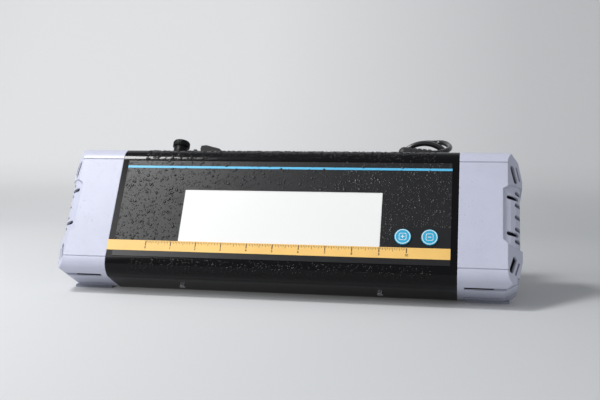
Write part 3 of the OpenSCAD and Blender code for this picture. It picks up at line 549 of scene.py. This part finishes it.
# place behind the neck, inset from the full width and height, and corner radius
PLUG_END = ((16.4, 0, 3.0), (17.6, 0.3, 2.8), (18, 1.0, 2.4))
PLUG_WELD = 0.0001


def add_plug():
    low, high = node_box("mains_plug")
    middle = (low + high) / 2
    half = (high - low) / 2
    stations = []
    for k in range(NECK_RIBS + 1):
        groove = NECK_GROOVE if k % 2 else 0.0
        r = NECK_R + NECK_GROWS * k / NECK_RIBS - groove
        stations.append((NECK_L * k / NECK_RIBS * NECK_RIBBED_SHARE, r, r, r))
    for x, half_y, half_z, r in PLUG_BODY:
        stations.append((NECK_L + x, half_y, half_z, r))
    for x, inset, r in PLUG_END:
        stations.append((NECK_L + x, half.y - inset, half.z - inset, r))
    bm = bmesh.new()
    rings = []
    for x, half_y, half_z, r in stations:
        outline = round_outline(half_y, half_z, min(r, half_y, half_z))
        rings.append([bm.verts.new((low.x + x, middle.y + y, middle.z + z))
                      for y, z in outline])
    join_rings(bm, rings)
    bm.faces.new(list(reversed(rings[0])))
    bm.faces.new(rings[-1])
    bmesh.ops.remove_doubles(bm, verts=bm.verts, dist=PLUG_WELD)
    mesh = from_bmesh(bm, "plug_body")
    return finish_mesh("plug_body", mesh, "root", "black_matte", place=LEANING,
                       replaced=("mains_plug",))


plug_obj = add_plug()


# printed marks of the ruler
RULER_FRONT = -PANEL_T - INLAY
RULER_INCHES = 10
INCH_PARTS = 16
MARK_LIFT = 0.06
MARK_TOP = WINDOW_Z - 0.5
INCH_MARK_W = 0.9
PART_MARK_W = 0.38
# lengths of the marks as shares of the ruler's height, by sixteenths of an inch
MARK_SHARES = {0: 0.46, 8: 0.34, 4: 0.27, 12: 0.27}
EVEN_MARK_SHARE = 0.22
ODD_MARK_SHARE = 0.16
FIGURE_SIZE = 3.4
FIGURE_T = 0.03
FIGURE_BOLD = 0.06
FIGURE_ROUND = 3
FIGURE_DOWN_SHARE = 0.7


def text_mesh(body, x):
    """Figure under an inch mark, standing upright on the ruler's face."""
    data = bpy.data.curves.new("figure", "FONT")
    data.body = body
    data.size = FIGURE_SIZE
    data.align_x = "CENTER"
    data.align_y = "CENTER"
    data.extrude = FIGURE_T
    data.offset = FIGURE_BOLD
    data.resolution_u = FIGURE_ROUND
    obj = bpy.data.objects.new("figure", data)
    bpy.context.scene.collection.objects.link(obj)
    bpy.context.view_layer.update()
    drawn = obj.evaluated_get(bpy.context.evaluated_depsgraph_get())
    mesh = bpy.data.meshes.new_from_object(drawn)
    bpy.data.objects.remove(obj)
    bpy.data.curves.remove(data)
    place = (x, RULER_FRONT - FIGURE_T, WINDOW_Z - RULER_H * FIGURE_DOWN_SHARE)
    mesh.transform(Matrix.Translation(place) @ Matrix.Rotation(QUARTER, 4, "X"))
    return mesh


def add_ruler_marks():
    bm = bmesh.new()
    for tick in range(RULER_INCHES * INCH_PARTS + 1):
        part = tick % INCH_PARTS
        share = MARK_SHARES.get(part, EVEN_MARK_SHARE if part % 2 == 0 else ODD_MARK_SHARE)
        width = INCH_MARK_W if part == 0 else PART_MARK_W
        x = RULER_ZERO_X + tick * INCH / INCH_PARTS
        add_box(bm, (x - width / 2, RULER_FRONT - MARK_LIFT, MARK_TOP - RULER_H * share),
                (x + width / 2, RULER_FRONT + MARK_LIFT, MARK_TOP))
    for inch in range(RULER_INCHES + 1):
        mesh = text_mesh(str(inch), RULER_ZERO_X + inch * INCH)
        bm.from_mesh(mesh)
        bpy.data.meshes.remove(mesh)
    mesh = from_bmesh(bm, "ruler_marks")
    finish_mesh("ruler_marks", mesh, "root", "ruler_yellow", "mark_dark", smooth=False)


add_ruler_marks()

# signs on the keys: a round ring near the rim, and a plus or a minus in a soft square
KEY_MARK_T = 0.08
RING_STEPS = 48
RING_OUTER = KEY_D / 2 - 0.55
RING_INNER = KEY_D / 2 - 1.4
SQUARE_OUTER = 3.5
SQUARE_INNER = 2.95
SQUARE_POWER = 5.0
SIGN_REACH = 1.7
SIGN_HALF_W = 0.38


def flat_ring(bm, x, outer, inner, power=2.0):
    """Ring printed on a key's face, round at power 2 and squarer above it."""
    rings = []
    for radius, level in ((outer, 0), (outer, KEY_MARK_T), (inner, KEY_MARK_T), (inner, 0)):
        ring = []
        for k in range(RING_STEPS):
            c = math.cos(2 * math.pi * k / RING_STEPS)
            s = math.sin(2 * math.pi * k / RING_STEPS)
            grow = radius / (abs(c) ** power + abs(s) ** power) ** (1 / power)
            ring.append(bm.verts.new((x + c * grow, -KEY_FRONT - level, KEY_Z + s * grow)))
        rings.append(ring)
    join_rings(bm, rings + rings[:1])


def add_key_marks(name, x, plus):
    bm = bmesh.new()
    flat_ring(bm, x, RING_OUTER, RING_INNER)
    mesh = from_bmesh(bm, name + "_ring")
    finish_mesh(name + "_ring", mesh, name, "key_blue", "key_ring", smooth=False)
    bm = bmesh.new()
    flat_ring(bm, x, SQUARE_OUTER, SQUARE_INNER, power=SQUARE_POWER)
    bars = [(SIGN_REACH, -SIGN_HALF_W, SIGN_HALF_W)]
    if plus:
        bars += [(SIGN_HALF_W, SIGN_HALF_W, SIGN_REACH), (SIGN_HALF_W, -SIGN_REACH, -SIGN_HALF_W)]
    for half_w, low, high in bars:
        add_box(bm, (x - half_w, -KEY_FRONT - KEY_MARK_T, KEY_Z + low),
                (x + half_w, -KEY_FRONT, KEY_Z + high))
    mesh = from_bmesh(bm, name + "_sign")
    finish_mesh(name + "_sign", mesh, name, "key_blue", "mark_white", smooth=False)


add_key_marks("plus_key", PLUS_X, True)
add_key_marks("minus_key", MINUS_X, False)

# screw cap of the fuse holder, fluted for the fingers: (radius, height above the housing)
CAP_SKIRT = ((5.1, 2.4), (7.5, 2.4), (7.7, 2.7), (7.5, 11.6), (7.3, 12.0), (8.6, 12.6),
             (9.0, 13.2))
CAP_TOP = ((9.0, 17.2), (8.8, 18.3), (8.1, 19.1), (7.0, 19.4), (2.6, 19.5), (2.4, 19.1),
           (0, 19.1))
CAP_FLUTES = 24
FLUTE_STEPS = 4
FLUTE_DEEP = 0.35
FLUTED_FROM_R = 8.5


def add_fuse_cap():
    bm = bmesh.new()
    lathe(bm, CAP_SKIRT + CAP_TOP, CAP_FLUTES * FLUTE_STEPS, (FUSE_X, TOP_Y, HOUSING_H))
    for vert in bm.verts:
        out = Vector((vert.co.x - FUSE_X, vert.co.y - TOP_Y))
        if out.length > FLUTED_FROM_R:
            wave = 0.5 - 0.5 * math.cos(CAP_FLUTES * math.atan2(out.y, out.x))
            out *= 1 - FLUTE_DEEP * wave / out.length
            vert.co.x = FUSE_X + out.x
            vert.co.y = TOP_Y + out.y
    mesh = from_bmesh(bm, "fuse_screw_cap")
    finish_mesh("fuse_screw_cap", mesh, "fuse_cap", "black_gloss", "rocker_black",
                replaced=("fuse_cap",))


add_fuse_cap()

# painted shade inside each cap, behind its slots: near-black, dull slabs that step back along the
# slope, each with its start, its end and its inset in depth, and a strip behind the louvre
SLOT_SHADE_SLABS = ((178, 184, 4.5), (184, 188, 7), (188, 193, 10.5), (193, 197, 14.5), (197, 200, 19))
SLOT_SHADE_LOW = 5.0
SLOT_SHADE_R = 11.0
LOUVRE_X = (156.5, 202.5)
LOUVRE_Y = (10.5, 14.7)
LOUVRE_Z = (1.2, 8.0)


def add_foam():
    stand = Matrix.Rotation(QUARTER, 4, "Y")
    centre = (0, HOUSING_D / 2, HOUSING_H / 2)
    for name, side in (("slot_shade_left", -1), ("slot_shade_right", 1)):
        bm = bmesh.new()
        for start, end, inset in SLOT_SHADE_SLABS:
            low, high = sorted((side * start, side * end))
            half_d = HOUSING_D / 2 - inset
            rounded_prism(bm, HOUSING_H / 2 - SLOT_SHADE_LOW, half_d, low, high, min(SLOT_SHADE_R, half_d),
                          centre, stand)
        low, high = sorted(side * x for x in LOUVRE_X)
        add_box(bm, (low, LOUVRE_Y[0], LOUVRE_Z[0]), (high, LOUVRE_Y[1], LOUVRE_Z[1]))
        finish_mesh(name, from_bmesh(bm, name), "root", "rubber", "slot_shade_black", smooth=False)


add_foam()

# low beads of water that stand on the body, scattered over the CAD's own faces:
# (share of the radius, share of the rise) of a bead's rings
BEAD_RINGS = ((1.0, 0.0), (0.7, 0.72))
BEAD_SIDES = 7
BEAD_RISE = 0.42
BEAD_STRETCH = 1.25
BEAD_CLEAR = 1
KEY_CLEAR = 10
EDGE_CLEAR = 22
EDGE_LOW = 2
EDGE_DEEP = 20
# how far a face may turn from the front: the y or z of its normal in the room
PANEL_FACING = -0.5
EDGE_FACING = 0.4
EDGE_UNDER = -0.75
CAP_FACING = -0.3


def add_bead(bm, place, normal, radius, stretch):
    """Flattened dome on a face, a little longer one way."""
    turn = normal.to_track_quat("Z", "Y").to_matrix()
    rings = []
    for share, level in BEAD_RINGS:
        rings.append([
            bm.verts.new(place + turn @ Vector((
                radius * share * stretch * math.cos(2 * math.pi * k / BEAD_SIDES),
                radius * share * math.sin(2 * math.pi * k / BEAD_SIDES),
                radius * level * BEAD_RISE)))
            for k in range(BEAD_SIDES)])
    rings.append([bm.verts.new(place + normal * radius * BEAD_RISE)])
    join_rings(bm, rings)


def faces_to_wet(node, keep):
    """Triangles of a node on a wanted face, each with the area summed up to it."""
    obj = frame["nodes"][node]
    to_world = obj.matrix_world
    to_upright = UPRIGHT.inverted()
    source = bmesh.new()
    source.from_mesh(obj.data)
    bmesh.ops.triangulate(source, faces=source.faces)
    spots = []
    total = 0.0
    for face in source.faces:
        corners = [to_world @ v.co for v in face.verts]
        normal = (to_world.to_3x3() @ face.normal).normalized()
        if keep(to_upright @ face.calc_center_median(), normal) is None:
            continue
        total += face.calc_area()
        spots.append((total, corners, normal))
    source.free()
    return spots, total


def add_beads(name, node, count, radii, slot, keep):
    """Beads where keep(place in upright mm, normal) is true; on a face that it answers
    with None none is tried."""
    rng = random.Random(name)
    spots, total = faces_to_wet(node, keep)
    to_upright = UPRIGHT.inverted()
    ends = [spot[0] for spot in spots]
    least, most = (r ** 0.5 for r in radii)
    bm = bmesh.new()
    for _ in range(count):
        spot = min(bisect.bisect(ends, rng.random() * total), len(spots) - 1)
        _, (a, b, c), normal = spots[spot]
        u = rng.random()
        v = rng.random()
        if u + v > 1:
            u = 1 - u
            v = 1 - v
        place = a + (b - a) * u + (c - a) * v
        if not keep(to_upright @ place, normal):
            continue
        radius = rng.uniform(least, most) ** 2 * MM
        add_bead(bm, place, normal, radius, rng.uniform(1.0, BEAD_STRETCH))
    return finish_mesh(name, from_bmesh(bm, name), "root", slot, place=None)


def on_panel(p, normal):
    """Bare stretches of the panel, away from the window, the keys and the ruler."""
    if normal.y > PANEL_FACING:
        return None
    in_window = (abs(p.x) < WINDOW_W / 2 + BEAD_CLEAR
                 and WINDOW_Z - BEAD_CLEAR < p.z < WINDOW_Z + WINDOW_H + BEAD_CLEAR)
    on_key = p.x > PLUS_X - KEY_CLEAR and abs(p.z - KEY_Z) < KEY_CLEAR
    on_ruler = p.z < WINDOW_Z + BEAD_CLEAR
    return not (in_window or on_key or on_ruler)


def on_edge(p, normal):
    """The two rounded edges of the housing, above and below its face."""
    if normal.y > EDGE_FACING or normal.z < EDGE_UNDER:
        return None
    upper = p.z > PANEL_TOP + BEAD_CLEAR and p.y < EDGE_DEEP
    lower = EDGE_LOW < p.z < PANEL_LOW - BEAD_CLEAR and p.y < CORNER_R
    if not (upper or lower):
        return None
    return abs(p.x) < HALF_W - EDGE_CLEAR


def on_cap(p, normal):
    """The front of an end cap, above its lower edge."""
    return True if normal.y < CAP_FACING and p.z > CORNER_R else None


# name, node, number of tries, least and greatest radius, slot and where they stand
BEADS = (
    ("panel_beads", "front_panel", 3600, (0.28, 0.85), "panel_black", on_panel),
    ("panel_drops", "front_panel", 260, (0.9, 1.7), "panel_black", on_panel),
    ("edge_beads", "housing", 2000, (0.4, 1.4), "housing_black", on_edge),
    ("cap_beads_left", "end_cap_left", 1300, (0.25, 0.6), "cap_grey", on_cap),
    ("cap_beads_right", "end_cap_right", 1300, (0.25, 0.6), "cap_grey", on_cap),
)
for beads in BEADS:
    add_beads(*beads)

# floor, backdrop and lights, in metres
PAPER_LOOK = {"Base Color": (0.6, 0.61, 0.62, 1), "Roughness": 0.9, "Specular IOR Level": 0.1,
              "Emission Color": (1, 1, 1, 1)}
# painted light of the paper, stronger at the left: from and to a place, with the strength at each
WALL_STARTS = (0.5, 1.5, 0.0, 1.0)
WALL_GLOW = (-1.3, 0.55, 0.31, 0.17)
FLOOR_GLOW = (-0.5, 0.35, 0.14, 0.0)
STAGE_HALF_W = 4.0
STAGE_FRONT = -3.0
STAGE_BEND_Y = 1.2
STAGE_BEND_R = 0.8
STAGE_BEND_STEPS = 12
STAGE_TOP = 4.0
ROOM_COLOUR = (0.78, 0.8, 0.84, 1)
ROOM_STRENGTH = 0.42
# name, place, target, side of the square and power
LIGHTS = (
    ("key_light", (-0.72, -0.46, 1.3), (0.0, 0.0, 0.05), 0.3, 12.5),
    ("low_light", (1.3, -0.9, 0.7), (0.2, -0.02, 0.08), 0.6, 1.6),
    ("side_light", (-1.2, -0.95, 0.95), (-0.05, -0.05, 0.06), 1.0, 12),
)


def stage_surface():
    """Pale paper that keeps the shadow; painted light, which only the camera and mirrors see,
    makes it brighter at the left.
    """
    mat, tree, shader = node_mat("floor_paper")
    link = tree.links.new
    set_inputs(shader, PAPER_LOOK)
    place = add_node(tree, "ShaderNodeSeparateXYZ")
    link(add_node(tree, "ShaderNodeNewGeometry").outputs["Position"], place.inputs["Vector"])

    def ramp(axis, limits):
        node = add_node(tree, "ShaderNodeMapRange")
        set_inputs(node, dict(zip(("From Min", "From Max", "To Min", "To Max"), limits)))
        link(place.outputs[axis], node.inputs["Value"])
        return node.outputs["Result"]

    def combine(kind, first, second):
        node = add_node(tree, "ShaderNodeMath", operation=kind)
        link(first, node.inputs[0])
        link(second, node.inputs[1])
        return node.outputs["Value"]

    wall = combine("MULTIPLY", ramp("Y", WALL_STARTS), ramp("X", WALL_GLOW))
    glow = combine("ADD", wall, ramp("X", FLOOR_GLOW))
    path = add_node(tree, "ShaderNodeLightPath")
    seen = combine("MAXIMUM", path.outputs["Is Camera Ray"], path.outputs["Is Glossy Ray"])
    seen = combine("MAXIMUM", seen, path.outputs["Is Transmission Ray"])
    link(combine("MULTIPLY", glow, seen), shader.inputs["Emission Strength"])
    return mat


def add_stage():
    """Floor that bends up into the backdrop."""
    profile = [(STAGE_FRONT, 0.0), (STAGE_BEND_Y, 0.0)]
    for k in range(1, STAGE_BEND_STEPS + 1):
        a = QUARTER * k / STAGE_BEND_STEPS
        profile.append((STAGE_BEND_Y + STAGE_BEND_R * math.sin(a),
                        STAGE_BEND_R - STAGE_BEND_R * math.cos(a)))
    profile.append((STAGE_BEND_Y + STAGE_BEND_R, STAGE_TOP))
    verts = [(x, y, z) for y, z in profile for x in (-STAGE_HALF_W, STAGE_HALF_W)]
    faces = [(2 * i, 2 * i + 1, 2 * i + 3, 2 * i + 2) for i in range(len(profile) - 1)]
    mesh = bpy.data.meshes.new("backdrop")
    mesh.from_pydata(verts, [], faces)
    for face in mesh.polygons:
        face.use_smooth = True
    mesh.materials.append(stage_surface())
    obj = bpy.data.objects.new("backdrop", mesh)
    bpy.context.scene.collection.objects.link(obj)


def add_area(name, place, target, size, power):
    data = bpy.data.lights.new(name, "AREA")
    data.shape = "RECTANGLE"
    data.size = size
    data.size_y = size
    data.energy = power
    obj = bpy.data.objects.new(name, data)
    bpy.context.scene.collection.objects.link(obj)
    aim = (Vector(target) - Vector(place)).to_track_quat("-Z", "Y")
    obj.matrix_world = Matrix.Translation(place) @ aim.to_matrix().to_4x4()


def add_lights():
    world = bpy.data.worlds.new("room")
    bpy.context.scene.world = world
    world.use_nodes = True
    set_inputs(world.node_tree.nodes["Background"],
               {"Color": ROOM_COLOUR, "Strength": ROOM_STRENGTH})
    for light in LIGHTS:
        add_area(*light)


add_stage()
add_lights()

scene = bpy.context.scene
scene.view_settings.view_transform = "Standard"
